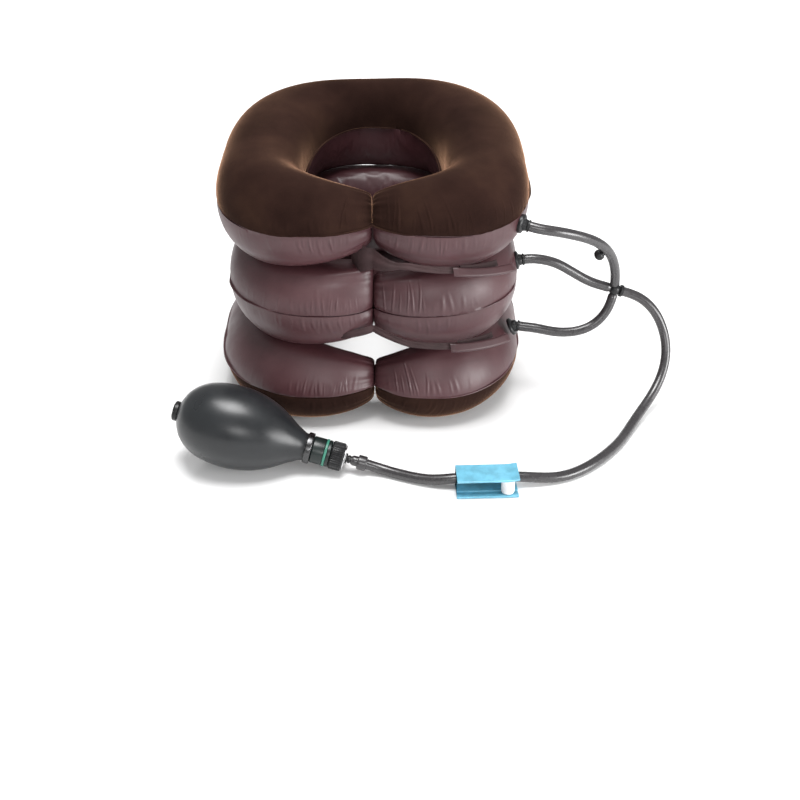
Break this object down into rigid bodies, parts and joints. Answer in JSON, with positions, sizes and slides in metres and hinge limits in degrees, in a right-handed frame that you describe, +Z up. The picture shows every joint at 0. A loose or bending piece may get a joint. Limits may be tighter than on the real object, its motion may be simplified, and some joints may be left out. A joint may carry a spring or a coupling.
{
  "type": "cervical traction device",
  "caption": "Inflatable C-shaped neck collar of stacked air chambers with front straps, branch hoses, a hand bulb with release valve, and a roller clamp on the long hose.",
  "frame": {"origin": "centre of the bottom of the box around the collar and the bulb, on the surface they stand on", "axes": "+Z up; the wearer faces -Y, where the collar opens; +X towards the hose ports"},
  "size_m": [0.3784, 0.2926, 0.2142],
  "materials": {
    "velvet": "short dark brown flocked pile",
    "vinyl": "soft satin maroon vinyl",
    "webbing": "matt woven band",
    "hose_rubber": "semi-gloss dark grey",
    "bulb_rubber": "satin black",
    "black_plastic": "satin moulded",
    "valve_plastic": "dark green, moulded",
    "green_plastic": "moulded",
    "bright_metal": "bright",
    "clear_blue_plastic": "moulded, slightly clear",
    "white_plastic": "moulded"
  },
  "bodies": {
    "base": {"base_cover_velvet": "velvet", "bulb": "bulb_rubber", "inlet_valve_seat": "black_plastic", "inlet_ball_retainer": "bright_metal", "neck_ferrule": "black_plastic", "valve_body": "valve_plastic", "valve_green_ring": "green_plastic", "valve_end_washer": "bright_metal", "outlet_barb": "black_plastic", "outlet_spring": "bright_metal", "hose_end_sleeve": "hose_rubber", "main_hose": "hose_rubber", "clamp_body": "clear_blue_plastic"},
    "lower_layer": {"lower_chamber_upper_sheet": "vinyl", "middle_chamber_lower_sheet": "vinyl", "cross_connector": "black_plastic", "upper_branch_hose": "hose_rubber", "middle_branch_hose": "hose_rubber", "lower_branch_hose": "hose_rubber", "branch_stub_cap": "black_plastic", "lower_strap_anchor": "vinyl", "lower_loop_patch": "webbing"},
    "upper_layer": {"middle_chamber_upper_sheet": "vinyl", "upper_chamber_lower_sheet": "vinyl", "upper_strap_anchor": "vinyl", "upper_loop_patch": "webbing"},
    "crown": {"upper_cover_velvet": "velvet"},
    "upper_port_body": {"upper_port": "black_plastic"},
    "middle_port_body": {"middle_port": "black_plastic"},
    "lower_port_body": {"lower_port": "black_plastic"},
    "upper_strap_body": {"upper_strap": "webbing", "upper_strap_tab": "vinyl"},
    "lower_strap_body": {"lower_strap": "webbing", "lower_strap_tab": "vinyl"},
    "release_ring_body": {"release_ring": "black_plastic"},
    "clamp_roller_body": {"clamp_roller": "white_plastic"},
    "inlet_ball_body": {"inlet_ball": "bright_metal"},
    "outlet_ball_body": {"outlet_ball": "bright_metal"}
  },
  "joints": [
    {"name": "lower_chamber_inflation", "type": "slide", "parent": "base", "child": "lower_layer", "axis": [0, 0, 1], "range_m": [-0.0495, 0], "deforming": ["base_cover_velvet", "lower_chamber_upper_sheet", "middle_chamber_lower_sheet", "middle_chamber_upper_sheet", "upper_chamber_lower_sheet", "upper_cover_velvet", "upper_branch_hose", "middle_branch_hose", "lower_branch_hose", "main_hose", "lower_strap", "lower_strap_tab", "lower_strap_anchor", "lower_loop_patch", "upper_strap", "upper_strap_tab", "upper_strap_anchor", "upper_loop_patch"]},
    {"name": "middle_chamber_inflation", "type": "slide", "parent": "lower_layer", "child": "upper_layer", "axis": [0, 0, 1], "range_m": [-0.05177, 0]},
    {"name": "upper_chamber_inflation", "type": "slide", "parent": "upper_layer", "child": "crown", "axis": [0, 0, 1], "range_m": [-0.05102, 0]},
    {"name": "upper_port_ride", "type": "slide", "parent": "lower_layer", "child": "upper_port_body", "axis": [0, 0, 1], "range_m": [-0.0684, 0]},
    {"name": "middle_port_ride", "type": "slide", "parent": "lower_layer", "child": "middle_port_body", "axis": [0, 0, 1], "range_m": [-0.03501, 0]},
    {"name": "lower_port_ride", "type": "slide", "parent": "lower_layer", "child": "lower_port_body", "axis": [0, 0, 1], "range_m": [0, 0.00707]},
    {"name": "upper_strap_swing", "type": "hinge", "parent": "upper_layer", "child": "upper_strap_body", "pos_m": [-0.00119, -0.07052, 0.13899], "axis": [0, 0, 1], "range_deg": [-100, 0]},
    {"name": "lower_strap_swing", "type": "hinge", "parent": "lower_layer", "child": "lower_strap_body", "pos_m": [-0.00108, -0.06992, 0.0777], "axis": [0, 0, 1], "range_deg": [-100, 0]},
    {"name": "release_ring_turn", "type": "hinge", "parent": "base", "child": "release_ring_body", "pos_m": [-0.01241, -0.11929, 0.01312], "axis": [0.9629, -0.127, -0.238], "range_deg": [0, 180]},
    {"name": "clamp_roller_slide", "type": "slide", "parent": "base", "child": "clamp_roller_body", "axis": [-0.999, -0.0454, 0], "range_m": [0, 0.026]},
    {"name": "inlet_ball_lift", "type": "slide", "parent": "base", "child": "inlet_ball_body", "axis": [0.9629, -0.127, -0.238], "range_m": [0, 0.0015]},
    {"name": "outlet_ball_lift", "type": "slide", "parent": "base", "child": "outlet_ball_body", "axis": [0.9629, -0.127, -0.238], "range_m": [0, 0.0008], "stiffness_N_per_m": 25, "springref_m": -0.0006}
  ],
  "couplings": [
    {"joint": "middle_chamber_inflation", "follows": "lower_chamber_inflation", "ratio": 1.0455},
    {"joint": "upper_chamber_inflation", "follows": "lower_chamber_inflation", "ratio": 1.0303},
    {"joint": "upper_port_ride", "follows": "lower_chamber_inflation", "ratio": 1.3815},
    {"joint": "middle_port_ride", "follows": "lower_chamber_inflation", "ratio": 0.70681},
    {"joint": "lower_port_ride", "follows": "lower_chamber_inflation", "ratio": -0.14251}
  ]
}
